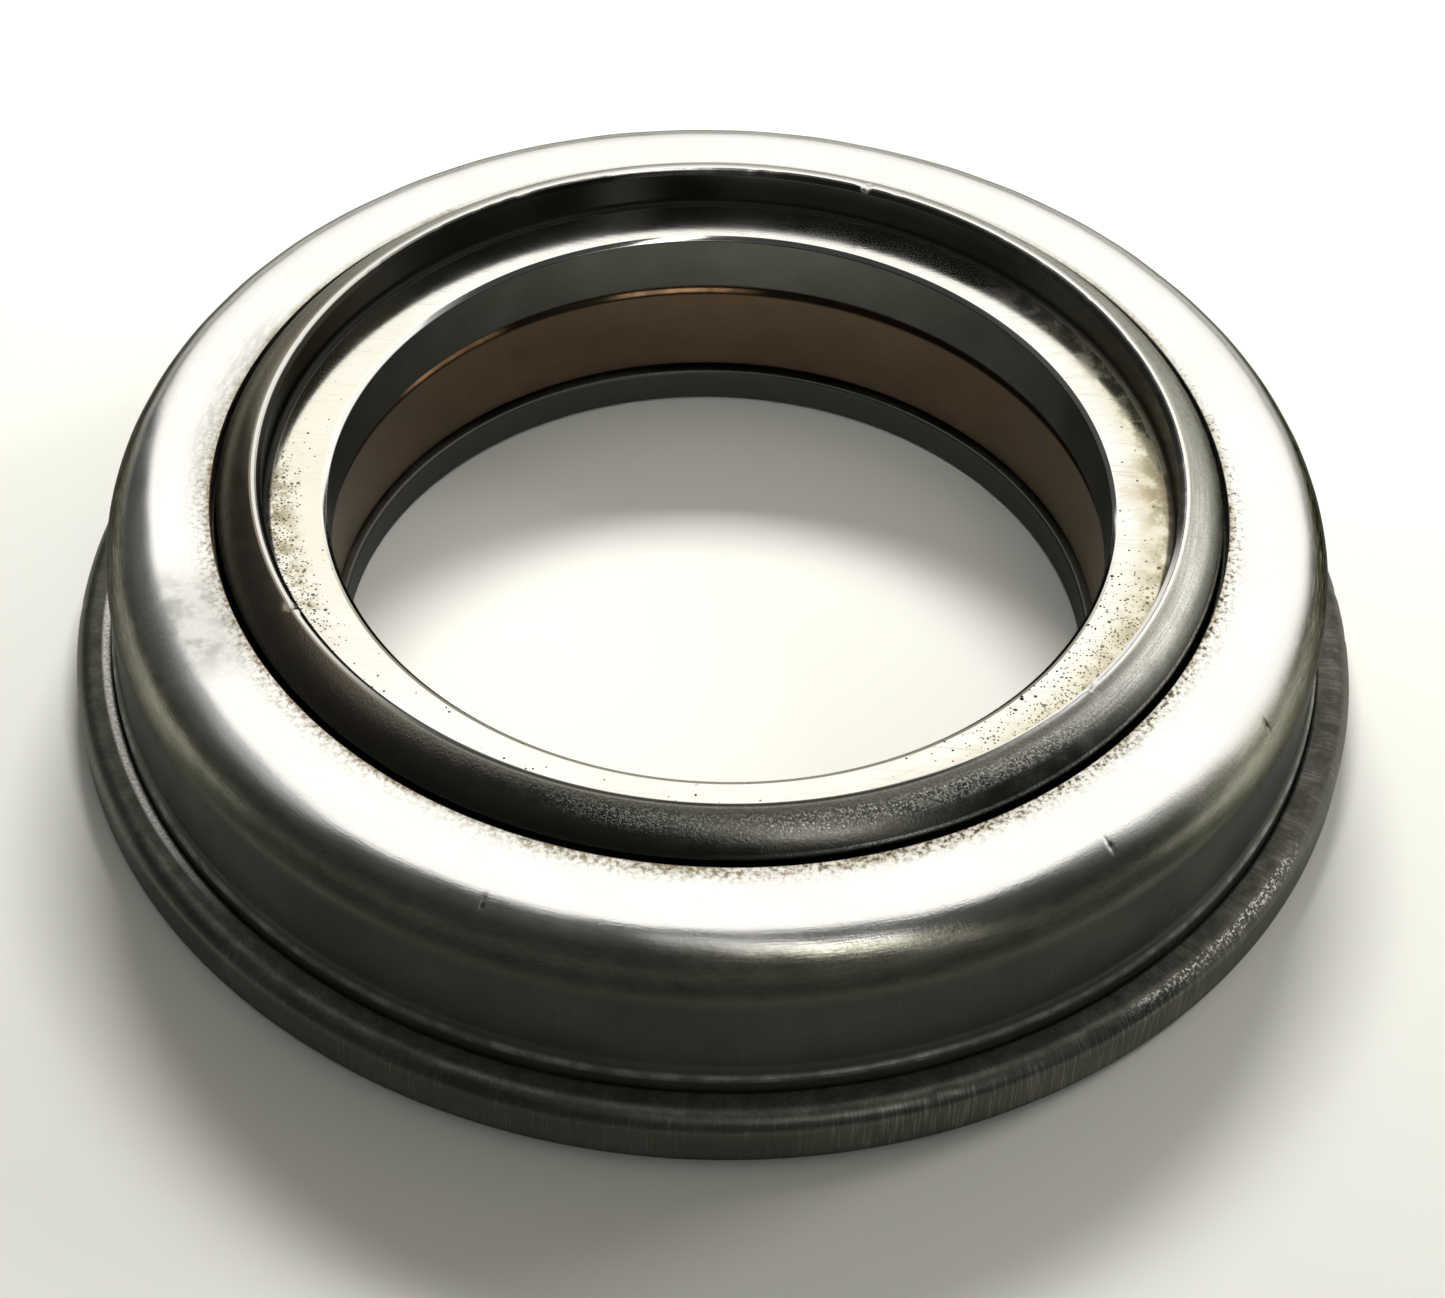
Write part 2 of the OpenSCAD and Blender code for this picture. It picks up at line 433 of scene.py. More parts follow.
def bend_knocks(a, r, z):
    """Dents on the shell's bend, and the slight waves that the press leaves in it."""
    from_r, from_z = r - (shell_r - shell_round), z - (face_z - shell_round)
    sink = sum(hollow(a, r, z, (angle, math.hypot(x, y), height), (0.2, 0.6, 0.6), 0.06)
               for angle, (x, y, height) in zip(dent_angles, dent_places))
    tilt = np.clip(np.arctan2(from_z, from_r) / (np.pi / 2), 0, 1)
    on_bend = np.sin(np.pi * tilt) ** 2 * (np.hypot(from_r, from_z) > shell_round - 0.1)
    sink = sink + on_bend * (0.035 + waves(a, 21, (3, 7, 12, 19, 31, 47), 0.07))
    return -sink * from_r / shell_round, -sink * np.maximum(from_z, 0) / shell_round


def rim_knocks(a, r, z):
    """Shallow dings along the rim's outer edge."""
    dings = np.random.default_rng(5).uniform([0, 0.03, 0.4], [2 * np.pi, 0.10, 1.0], (26, 3))
    sink = 0.7 * sum(hollow(a, r, z, (angle, rim_r - 0.3, rim_h - 0.6), (wide, 0.9, 1.1), deep)
                     for angle, deep, wide in dings)
    return -sink, -sink


AROUND = 600  # outlines round each steel ring
race_back = ring("race_back", back_row, spaced(AROUND), rim_knocks)
shell_cover = ring("shell_cover", shell_row, spaced(AROUND, dent_angles), bend_knocks)
race_front = ring("race_front", front_row, spaced(AROUND, nick_angles), mouth_knocks)
print("faces:", [len(o.data.polygons) for o in (race_back, shell_cover, race_front)])

# %% [markdown]
# ## The bronze cage
#
# The cage is a turned ring with a drilled pocket for each ball. Its upper and lower faces
# are made of one cell per ball. In a cell the points run from the pocket's circle out to
# the cell's border: p = (1 - s) circle + s border. The borders of neighbouring cells and
# of the turned walls share their points, so the ring closes without a seam.

# %% The cage
ball_nodes = [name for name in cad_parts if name.startswith("ball_") and name != "ball_cage"]
BALLS = len(ball_nodes)
POCKET_R, CHAMFER = 5.75625, 0.5
BESIDE = 0.06  # a line of points this near an edge keeps the flat flat


def spun(xy, angle, z):
    """Points (x, y) turned about the axis by an angle, at the heights z."""
    c, s, x, y = math.cos(angle), math.sin(angle), xy[..., 0], xy[..., 1]
    return np.stack([x * c - y * s, x * s + y * c, np.broadcast_to(z, x.shape)], -1).reshape(-1, 3)


def cage_mesh(per_arc=28, per_side=12, rings=5):
    """Vertices and faces of the whole cage.

    Walls: the outline's points turned about the axis. Faces: one cell for each ball, whose
    border is two arcs and two radial sides. Pockets: the cells' inner circles joined.
    """
    bore, out, low, high = cage_bore_r, cage_r, cage_low_z, cage_high_z
    wall_in = np.array([
        [bore + EDGE, low], *corner((out, low), (bore, low), (bore, high), EDGE)[1:-1], [bore, low + EDGE],
        [bore, low + EDGE + BESIDE], *[[bore, low + t * (high - low)] for t in np.linspace(0.1, 0.9, 13)],
        [bore, high - CHAMFER - BESIDE], [bore, high - CHAMFER], [bore + 0.08, high - CHAMFER + 0.14],
        [bore + CHAMFER - 0.14, high - 0.08], [bore + CHAMFER, high]])
    wall_out = np.array([
        *corner((bore, high), (out, high), (out, low), EDGE), [out, high - EDGE - BESIDE],
        [out, low + EDGE + BESIDE], *corner((out, high), (out, low), (bore, low), EDGE)])
    around = BALLS * per_arc
    patches = [(turned_grid(wall, spaced(around)) / MM, grid_faces(around, len(wall), closed_columns=False))
               for wall in (wall_in, wall_out)]

    step, middle, circles = 2 * np.pi / BALLS, np.array([pitch_r, 0.0]), []
    u, v = (np.linspace(0, 1, count + 1)[:-1] for count in (per_arc, per_side))
    share = np.concatenate([[0], 0.02 + 0.98 * np.linspace(0, 1, rings)])[:, None, None]
    for z, r0, turn in ((high, bore + CHAMFER, 1), (low, bore + EDGE, -1)):
        r1 = out - EDGE
        a = np.concatenate([-step / 2 + step * u, np.full(per_side, step / 2), step / 2 - step * u,
                            np.full(per_side, -step / 2)])
        r = np.concatenate([np.full(per_arc, r1), r1 + (r0 - r1) * v,
                            np.full(per_arc, r0), r0 + (r1 - r0) * v])
        border = np.stack([r * np.cos(a), r * np.sin(a)], 1)
        way = border - middle
        way = way / np.linalg.norm(way, axis=1, keepdims=True)
        circles.append(middle + POCKET_R * way)
        cell = (1 - share) * circles[-1] + share * border
        faces = grid_faces(len(share), len(border), closed_rows=False)[:, ::turn]
        patches += [(spun(cell, k * step, z), faces) for k in range(BALLS)]

    depth = np.array([high, high - BESIDE, high - 3, low + 3, low + BESIDE, low])
    share = ((high - depth) / (high - low))[:, None, None]
    tube = circles[0] * (1 - share) + circles[1] * share
    faces = grid_faces(len(depth), len(border), closed_rows=False)
    patches += [(spun(tube, k * step, depth[:, None]), faces) for k in range(BALLS)]
    starts = np.cumsum([0] + [len(xyz) for xyz, faces in patches])
    return (np.concatenate([xyz for xyz, faces in patches]) * MM,
            np.concatenate([start + faces for start, (xyz, faces) in zip(starts, patches)]))


def weld(piece, distance=0.00002):
    """Joins points that lie on each other, turns all faces outwards and counts open edges."""
    bm = bmesh.new()
    bm.from_mesh(piece.data)
    bmesh.ops.remove_doubles(bm, verts=bm.verts, dist=distance)
    bmesh.ops.recalc_face_normals(bm, faces=bm.faces)
    open_edges = sum(1 for e in bm.edges if len(e.link_faces) != 2)
    bm.to_mesh(piece.data)
    bm.free()
    shade(piece.data)
    return open_edges


cage = new_piece("bronze_cage", *cage_mesh())
print("cage open edges:", weld(cage), "faces:", len(cage.data.polygons))

# %% [markdown]
# ## Riding on the bodies
#
# Each finished ring takes the place of its CAD node and moves with that node's body. The
# balls keep their CAD meshes, which are round already, and get a better material below.

# %% Ride on the bodies
for piece, body, node, finish in ((race_back, "housing", "back_race", "race_steel"),
                                  (shell_cover, "housing", "shell", "shell_steel"),
                                  (race_front, "front_race", "front_race", "race_steel"),
                                  (cage, "ball_cage", "ball_cage", "bronze")):
    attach(piece, body)
    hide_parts(node)

# %% [markdown]
# ## Building node trees
#
# Materials, shared effects and the sky are all trees of nodes. This class adds nodes to a
# tree and hands back their outputs, so that a tree can be written as a formula.

# %% Node helpers
class Nodes:
    """A node tree in the making. The methods add nodes and return what these put out."""

    def __init__(self, tree):
        self.tree = tree

    def put(self, kind, **settings):
        """Adds a node. A setting in_NAME or in_NUMBER joins or sets a socket, any other a property."""
        made = self.tree.nodes.new(kind)
        for name, value in settings.items():
            if not name.startswith("in_"):
                setattr(made, name, value)
                continue
            key = name[3:]
            socket = made.inputs[int(key) if key.isdigit() else key.replace("_", " ")]
            if isinstance(value, bpy.types.NodeSocket):
                self.tree.links.new(value, socket)
            else:
                socket.default_value = value
        return made.outputs

    def calc(self, operation, *values, clamp=False):
        """One step of arithmetic on outputs and numbers."""
        inputs = {f"in_{i}": value for i, value in enumerate(values)}
        return self.put("ShaderNodeMath", operation=operation, use_clamp=clamp, **inputs)[0]

    def fold(self, operation, values):
        """The same step along a row of values, in which a tuple stands for a product."""
        values = [self.times(*value) if isinstance(value, tuple) else value for value in values]
        return reduce(lambda total, value: self.calc(operation, total, value), values)

    def times(self, *values):
        return self.fold("MULTIPLY", values)

    def add(self, *values):
        return self.fold("ADD", values)

    def most(self, *values):
        return self.fold("MAXIMUM", values)

    def vector(self, operation, first, second=(0, 0, 0), scale=1):
        """Arithmetic on vectors. A length, a distance and a dot product are numbers."""
        out = "Value" if operation in ("LENGTH", "DISTANCE", "DOT_PRODUCT") else "Vector"
        return self.put("ShaderNodeVectorMath", operation=operation,
                        in_0=first, in_1=second, in_3=scale)[out]

    def split(self, vector):
        return self.put("ShaderNodeSeparateXYZ", in_0=vector)

    def joined(self, x=0, y=0, z=0):
        return self.put("ShaderNodeCombineXYZ", in_0=x, in_1=y, in_2=z)[0]

    def noise(self, place, scale, detail, rough):
        return self.put("ShaderNodeTexNoise", in_Vector=place, in_Scale=scale, in_Detail=detail,
                        in_Roughness=rough)["Fac"]

    def ramp(self, value, low, high, to_low=0, to_high=1):
        """Maps value from low..high to to_low..to_high, with soft ends."""
        return self.put("ShaderNodeMapRange", interpolation_type="SMOOTHSTEP", in_Value=value,
                        in_From_Min=low, in_From_Max=high, in_To_Min=to_low, in_To_Max=to_high)["Result"]

    def group(self, name, place, **inputs):
        """A shared effect with its own values; a name such as Per_mm stands for Per mm."""
        return self.put("ShaderNodeGroup", node_tree=bpy.data.node_groups[name], in_Vector=place,
                        **{"in_" + key: value for key, value in inputs.items()})

    def mix(self, share, first, second):
        """Mixes colours or numbers: first where share is 0, second where it is 1."""
        if tuple in (type(first), type(second)) or getattr(first, "type", "") == "RGBA":
            first, second = ((*c, 1) if isinstance(c, tuple) else c for c in (first, second))
            return self.put("ShaderNodeMix", data_type="RGBA", in_0=share, in_6=first, in_7=second)[2]
        return self.put("ShaderNodeMix", data_type="FLOAT", in_0=share, in_2=first, in_3=second)[0]


# %% [markdown]
# ## Shared effects
#
# All the rings have the same few things on them: marks that run round the axis, short lines
# across them, straight grinding lines, tiny rust pits and cloudy stains. Each is a node
# group that gives out only a number from 0 to 1, and each material uses it with its own
# values. All groups read the place on the object in millimetres.

# %% Shared effects
def effect(build, outputs=("Value",), **inputs):
    """Makes a node group of a function, from its number inputs and a Vector input."""
    tree = bpy.data.node_groups.new(build.__name__, "ShaderNodeTree")
    tree.interface.new_socket("Vector", in_out="INPUT", socket_type="NodeSocketVector")
    for name, value in inputs.items():
        tree.interface.new_socket(name.replace("_", " "), in_out="INPUT",
                                  socket_type="NodeSocketFloat").default_value = value
    for name in outputs:
        kind = "NodeSocketVector" if name == "Around" else "NodeSocketFloat"
        tree.interface.new_socket(name, in_out="OUTPUT", socket_type=kind)
    given, result = (tree.nodes.new("NodeGroup" + end) for end in ("Input", "Output"))
    for name, value in zip(outputs, build(Nodes(tree), given.outputs)):
        tree.links.new(value, result.inputs[name])
    print("effect:", tree.name)


def ring_place(t, given):
    """Radius, height, their difference and the direction from the axis.

    Radius is the square root of x squared plus y squared. Along is z minus the radius: it
    grows along a wall, round an outer corner and inwards over a flat face, so lines of
    equal Along run round the axis wherever they are.
    """
    x, y, z = t.split(given["Vector"])
    flat = t.joined(x, y)
    radius = t.vector("LENGTH", flat)
    return radius, z, t.calc("SUBTRACT", z, radius), t.vector("NORMALIZE", flat)


def ring_marks(t, given, round_it, along_it, detail, rough):
    """Noise on a cylinder: the direction from the axis times one input, Along times another."""
    place = t.group("ring_place", given["Vector"])
    x, y, z = t.split(t.vector("SCALE", place["Around"], scale=given[round_it]))
    along = t.calc("MULTIPLY_ADD", place["Along"], given[along_it], given["Seed"])
    return t.noise(t.joined(x, y, along), 1, detail, rough),


def turned_marks(t, given):
    """Streaks that run round the axis: noise that is fine along the outline, slow round it."""
    return ring_marks(t, given, "Breaks", "Per mm", 3, 0.6)


def axial_marks(t, given):
    """Short lines that run up the wall or out along the face: noise that is fine round the axis."""
    return ring_marks(t, given, "Round", "Length", 2, 0.5)


def straight_marks(t, given):
    """Straight lapping lines: noise that is long one way and fine across, turned by Angle."""
    x, y, z = t.split(t.put("ShaderNodeVectorRotate", rotation_type="Z_AXIS", in_Vector=given["Vector"],
                            in_Angle=given["Angle"])[0])
    place = t.joined(t.times(x, given["Per mm along"]), t.times(y, given["Per mm"]),
                     t.calc("MULTIPLY_ADD", z, 0.5, given["Seed"]))
    return t.noise(place, 1, 2, 0.6),


def pits(t, given):
    """Tiny round pits: a cell pattern's distance, under a limit that varies from cell to cell."""
    cells = t.put("ShaderNodeTexVoronoi", in_Vector=given["Vector"], in_Scale=given["Per mm"])
    chance, chance_of_size, rest = t.put("ShaderNodeSeparateColor", in_0=cells["Color"])
    kept = t.ramp(chance, *(t.calc("SUBTRACT", limit, given["Amount"]) for limit in (1, 1.02)))
    size = t.calc("MULTIPLY_ADD", chance_of_size, 0.2, 0.08)
    return t.times(t.ramp(cells["Distance"], size, t.add(size, 0.07), 1, 0), kept),


def clouds(t, given):
    """Soft stains with ragged edges: noise between two limits."""
    moved = t.vector("ADD", given["Vector"], t.joined(z=given["Seed"]))
    return t.ramp(t.noise(moved, given["Per mm"], given["Detail"], 0.6), given["Low"], given["High"]),


effect(ring_place, ("Radius", "Height", "Along", "Around"))
effect(turned_marks, Per_mm=6, Breaks=6, Seed=0)
effect(axial_marks, Round=260, Length=0.35, Seed=0)
effect(straight_marks, Angle=0, Per_mm=5, Per_mm_along=0.12, Seed=0)
effect(pits, Per_mm=1.6, Amount=0.3)
effect(clouds, Per_mm=0.12, Low=0.45, High=0.62, Detail=6, Seed=0)

# %% [markdown]
# ## Materials
#
# One bar of steel makes each race, but no two of its faces look the same: the face that
# rubs is bright, the wall that nothing touches is nearly black with old oil. So a material
# is a row of zones, told apart by radius and height, with the shared effects on top. Some
# zones, told apart by the side of the ring, hold painted highlights and painted shade.

# %% Material helpers
class Finish(Nodes):
    """A material in the making: its tree, and the place on the object in mm."""

    def __init__(self, name):
        self.material = bpy.data.materials.new(name)
        self.material.use_nodes = True
        super().__init__(self.material.node_tree)
        here = self.put("ShaderNodeTexCoord")["Object"]
        self.mm = self.vector("SCALE", here, scale=1 / MM)
        place = self.group("ring_place", self.mm)
        self.radius, self.height, self.around = (place[name] for name in ("Radius", "Height", "Around"))

    def value(self, name, **inputs):
        return self.group(name, self.mm, **inputs)["Value"]

    def turned(self, per_mm, breaks, seed=0):
        return self.value("turned_marks", Per_mm=per_mm, Breaks=breaks, Seed=seed)

    def lapped(self, angle, per_mm, per_mm_along, seed=0):
        return self.value("straight_marks", Angle=angle, Per_mm=per_mm,
                          Per_mm_along=per_mm_along, Seed=seed)

    def clouds(self, per_mm, low, high, seed=0):
        return self.value("clouds", Per_mm=per_mm, Low=low, High=high, Seed=seed)

    def grain(self, per_mm, detail, rough):
        return self.noise(self.mm, per_mm, detail, rough)

    def out(self, base, low, high, *to):
        """Grows with the radius, between `low` and `high` mm beyond the radius `base`."""
        return self.ramp(self.radius, base + low, base + high, *to)

    def up(self, base, low, high, *to):
        """Grows with the height, between `low` and `high` mm above the height `base`."""
        return self.ramp(self.height, base + low, base + high, *to)

    def band(self, of, low, high, soft):
        """1 where low < of < high, falling to 0 over `soft` on both sides."""
        return self.times(self.ramp(of, low - soft, low + soft),
                          self.ramp(of, high - soft, high + soft, 1, 0))

    def ring(self, base, low, high, soft):
        """A band between `low` and `high` mm beyond the radius `base`."""
        return self.band(self.radius, base + low, base + high, soft)

    def belt(self, base, low, high, soft):
        """A band between `low` and `high` mm above the height `base`."""
        return self.band(self.height, base + low, base + high, soft)

    def side(self, angle, low, high):
        """1 on the side of the ring at `angle` degrees, 0 on the other; limits are cosines."""
        way = (math.cos(math.radians(angle)), math.sin(math.radians(angle)), 0)
        return self.ramp(self.vector("DOT_PRODUCT", self.around, way), low, high)

    def near(self, name, full, none):
        """1 within `full` mm of where a picture point lies, 0 beyond `none` mm."""
        return self.ramp(self.vector("DISTANCE", self.mm, tuple(where(name))), full, none, 1, 0)

    def coats(self, colour, *coats):
        """Lays coats over a colour, one after another: each is a colour and factors of its share."""
        for coat, *share in coats:
            colour = self.mix(self.times(*share), colour, coat)
        return colour

    def finish(self, colour, rough, height, metal=None, edge=1):
        """Joins the mixed values to the shader; height is in millimetres.

        Edge is how bright the metal looks at a glancing angle, where oil and oxide dull it.
        """
        links, inputs = self.tree.links, self.tree.nodes["Principled BSDF"].inputs
        inputs["Specular Tint"].default_value = (edge, edge, edge, 1)
        inputs["Metallic"].default_value = 1
        bump = self.put("ShaderNodeBump", in_Height=height, in_Distance=MM, in_Strength=1)["Normal"]
        for name, value in (("Base Color", colour), ("Roughness", rough),
                            ("Metallic", metal), ("Normal", bump)):
            if value is not None:
                links.new(value, inputs[name])
        return self.material


# %% [markdown]
# ## The shell's steel
#
# The press leaves the wall dull and drawn upwards. The bend is a soft grey, painted darker
# on its right and left sides as shade, and the flat is rubbed bright. Old grime has crept
# out over the flat from the gap at the hole. The bead at the foot is worn and carries a
# painted highlight, and the dents are painted dark as shade.

# %% Pressed steel of the shell
def pressed_steel():
    f = Finish("pressed_steel")
    round_start = face_z - shell_round
    on_top = f.up(face_z, -1.6, -0.5)  # 0 on the wall, 1 on the flat
    lower = f.up(0, round_start - 1, face_z - 1.8)
    on_face = f.up(face_z, -0.8, -0.4)
    on_bend = f.belt(0, round_start + 0.6, face_z - 0.25, 0.6)
    bead_wear_and_sheen = f.belt(foot_z, -0.35, 0.25, 0.12)
    turning, streaks = f.turned(7, 5), f.turned(4.5, 26, 8)
    drawn = f.value("axial_marks", Round=210, Length=0.12)
    blotch, mottle = f.clouds(0.1, 0.35, 0.7), f.clouds(0.5, 0.3, 0.75, 9)
    peel, specks = f.grain(4.5, 3, 0.7), f.grain(2.2, 5, 0.7)
    lap = f.lapped(0.25, 5, 0.1)

    wall = f.coats(
        f.mix(blotch, (0.1, 0.102, 0.088), (0.135, 0.137, 0.118)),
        ((0.22, 0.22, 0.195), f.ramp(drawn, 0.5, 0.75), 0.12))
    bend = f.coats(
        f.mix(mottle, (0.38, 0.38, 0.305), (0.48, 0.48, 0.385)),
        # Painted shade: the bend is darker on its right side and, less, on its left.
        ((0.13, 0.13, 0.107), f.side(12, 0.72, 0.95)),
        ((0.2, 0.197, 0.172), f.side(172, 0.75, 0.97)),
        ((0.16, 0.16, 0.14), f.ramp(peel, 0.4, 0.7), 0.4),
        ((0.62, 0.62, 0.53), f.ramp(streaks, 0.45, 0.7), 0.4))
    flat = f.coats(
        f.mix(blotch, (0.88, 0.877, 0.848), (0.93, 0.927, 0.902)),
        ((0.66, 0.65, 0.615), f.ramp(lap, 0.55, 0.8), 0.14))

    cloud = f.times(f.near("flat_cloud", 2, 8.5), f.ramp(mottle, 0.1, 0.9, 0.45, 1))
    rubbed = f.times(f.side(172, 0.93, 0.995), f.out(hole_r, 0.6, 3, 1, 0), on_top,
                     f.ramp(f.turned(2.2, 22, 5), 0.35, 0.65, 0.3, 1))
    close = f.most(
        f.out(hole_r, 0.1, 0.75, 1, 0), (f.side(-75, 0.7, 0.95), f.out(hole_r, 0.4, 1.5, 0.8, 0)))
    wide = f.times(f.out(hole_r, 0.3, 2.4, 1, 0),
                   f.add(f.side(-88, 0.8, 1), f.side(-35, 0.75, 1), f.side(205, 0.7, 1)))
    grime = f.add((close, f.ramp(blotch, 0, 1, 0.45, 1), f.ramp(specks, 0.3, 0.7, 0.4, 1)),
                  (wide, f.ramp(specks, 0.42, 0.68), 0.85))
    grime = f.times(grime, on_face)
    flecks = f.times(
        f.side(-30, 0.45, 0.9), on_face, f.out(hole_r, 0.4, 1.4, 1, 0), f.ramp(specks, 0.53, 0.6))
    colour = f.coats(
        wall, (bend, lower), (flat, on_top), ((0.33, 0.33, 0.31), cloud, 0.75),
        ((0.46, 0.46, 0.42), rubbed, 0.7),
        ((0.39, 0.325, 0.2), f.calc("MINIMUM", grime, 0.9)),
        ((0.085, 0.062, 0.035), flecks, 0.85),
        # Painted shade: the two dents and the scratch are hollows, coloured dark.
        *(((0.07, 0.066, 0.055), f.near(name, 0.06, 0.36), 0.7)
          for name in ("dent_right", "dent_far_right", "scratch_left")),
        # The bead at the foot is lighter: wear, and a painted highlight along its edge.
        ((0.42, 0.41, 0.385), bead_wear_and_sheen, f.ramp(mottle, 0.2, 0.9, 0.3, 0.9)))

    rough = f.mix(f.up(face_z, -3.6, -1.7), f.mix(blotch, 0.34, 0.42), f.mix(blotch, 0.14, 0.2))
    rough = f.add(rough, (lower, f.ramp(on_top, 0, 1, 0.05, 0)), (grime, 0.35), (cloud, 0.12),
                  (lap, on_top, 0.08))
    height = f.add((turning, 0.0016), (peel, f.ramp(on_bend, 0, 1, 0.0006, 0.009)),
                   (drawn, f.ramp(on_top, 0, 1, 0.0008, 0)), (lap, on_top, 0.0012),
                   (streaks, on_bend, 0.008), (grime, 0.004))
    metal = f.mix(f.up(round_start, -1.5, 2), 0.6, 1)
    return f.finish(colour, rough, height, metal, edge=0.15)


# %% [markdown]
# ## The front race's steel
#
# From the axis outwards: the dark bore, the lapped floor of the recess with its stains and
# rust pits, the oily wall, the sharp mouth, and the crown of the collar, whose grain
# glints where it faces the light. Much of the light and shade here is painted: glints and
# highlights on the crown and the mouth, and shade at the crown's foot, in the recess's
# corner, on its wall and at the front of the bore's edge.

# %% Steel of the front race
def collar_steel():
    f = Finish("collar_steel")
    turning, bands = f.turned(8, 7), f.turned(1.4, 2.5, 4)
    blotch, mottle = f.clouds(0.13, 0.35, 0.7), f.clouds(0.6, 0.3, 0.75, 5)
    peel, grain = f.grain(4.2, 3, 0.7), f.grain(5.5, 3, 0.7)
    sparkle = f.ramp(f.grain(4.8, 2, 0.8), 0.5, 0.62)
    lap, lap_fine = f.lapped(0.06, 4.5, 0.16), f.lapped(-0.5, 6, 0.25, 2)
    outside = f.out(mouth_r, -0.1, 0.05)
    wall_zone = f.times(f.out(recess_r, -0.45, -0.15), f.calc("SUBTRACT", 1, outside))
    bore_zone = f.calc("SUBTRACT", 1, f.out(front_bore_r, 0.03, 0.12))
    on_floor = f.times(
        f.ring(0, front_bore_r + 0.5, recess_r - 0.2, 0.15), f.belt(floor_z, -0.3, 0.2, 0.1))
    on_right = f.side(-15, 0.3, 0.9)

    stain = f.times(f.near("floor_stain", 0.8, 5.5), f.ramp(mottle, 0, 1, 0.4, 1))
    brown = f.calc("ADD", f.times(stain, 0.85),
                   f.times(f.side(-8, 0.1, 1), f.out(recess_r, -3.2, -0.2), mottle, 0.7), clamp=True)
    floor = f.coats(
        f.mix(blotch, (0.87, 0.855, 0.8), (0.95, 0.94, 0.905)),
        ((0.56, 0.52, 0.4), f.ramp(lap, 0.5, 0.78), f.ramp(on_right, 0, 1, 0.22, 0.5)),
        ((0.6, 0.56, 0.43), f.ramp(lap_fine, 0.5, 0.8), f.ramp(on_right, 0, 1, 0.2, 0.45)),
        ((0.5, 0.41, 0.24), brown))

    in_front = f.most(f.side(-58, 0.8, 0.97), (f.side(-98, 0.97, 0.998), 0.45))
    painted_glints = f.times(sparkle, in_front, f.ring(mouth_r, 0.8, 2.1, 0.4))
    shoulder_shade = f.times(f.ring(mouth_r, 0.3, 0.95, 0.25), f.side(-80, 0.4, 0.8))
    foot_shade = f.times(f.up(collar_z, -2.6, -0.6, 1, 0), f.side(-90, -0.6, 0.2))
    foot_edge_highlight = f.times(
        f.belt(collar_z, -2.32, -2.12, 0.05), f.side(-48, 0.7, 0.95), f.ramp(grain, 0.4, 0.6, 0.3, 1))
    # Painted light and shade on the crown: lighter on the right and at the back, darker on the left and the
    # front, a painted highlight band high on the front right, painted glints, a painted dark band beside
    # the land, painted shade towards the foot and a painted highlight on its lower edge. The brown stain on
    # the left, the turning marks and the grain are the steel's own.
    collar = f.coats(
        f.mix(f.side(0, -0.75, 0), (0.24, 0.217, 0.17), (0.5, 0.507, 0.45)),
        ((0.9, 0.9, 0.84), f.side(-38, 0.7, 1), f.belt(collar_z, -1.1, -0.1, 0.3)),
        ((0.74, 0.735, 0.7), f.side(90, 0.35, 0.9)),
        ((0.25, 0.15, 0.11), f.side(213, 0.8, 0.98), mottle, 0.6),
        ((0.13, 0.128, 0.108), f.side(-85, 0.6, 0.95), 0.75),
        ((0.95, 0.94, 0.88), painted_glints, 0.85),
        ((0.1, 0.099, 0.085), shoulder_shade, 0.7),
        ((0.22, 0.215, 0.18), f.ramp(turning, 0.35, 0.65), 0.4),
        ((0.13, 0.126, 0.105), f.ramp(grain, 0.4, 0.7), 0.35),
        ((0.065, 0.063, 0.053), foot_shade, 0.94),
        ((0.75, 0.74, 0.69), foot_edge_highlight))

    wall = f.coats(
        f.mix(bands, (0.1, 0.099, 0.086), (0.15, 0.148, 0.128)),
        # Painted shade: the wall is darker on the left, and nearly black at the back, where it would mirror
        # the sky's bright patches.
        ((0.032, 0.031, 0.026), f.side(168, 0.5, 0.95)),
        ((0.014, 0.0135, 0.0115), f.side(105, 0.955, 0.996)))
    bore = f.mix(blotch, (0.085, 0.085, 0.075), (0.11, 0.11, 0.098))
    # Painted shade in the corner between the recess wall and its floor.
    corner_shade = f.times(f.ring(recess_r, -0.55, 0.1, 0.12), f.belt(floor_z, -0.1, 0.45, 0.12))
    sharp = f.times(f.ring(mouth_r, -0.12, 0.26, 0.06), f.up(collar_z, -0.4, -0.1))
    # The sharp edge is bright with wear, and painted dark on its front side as shade.
    sharp_colour = f.coats(
        f.mix(f.side(180, 0.3, 0.9), (0.85, 0.84, 0.8), (0.72, 0.71, 0.67)),
        ((0.05, 0.049, 0.042), f.side(-92, 0.55, 0.9)))
    # Painted highlight: a near-white band on the mouth's slope at the front right, made rough and hardly
    # metallic.
    mouth_highlight = f.times(f.ring(0, recess_r - 0.06, mouth_r - 0.08, 0.05),
                    f.up(collar_z, -0.6, -0.4), f.side(-40, 0.84, 0.96))
    bore_line = f.ring(front_bore_r, 0.08, 0.45, 0.05)
    # Painted shade: the bore's edge is darker at the front.
    front_edge_shade = f.times(f.ring(front_bore_r, 0.08, 0.6, 0.05), f.side(-90, 0.1, 0.6))

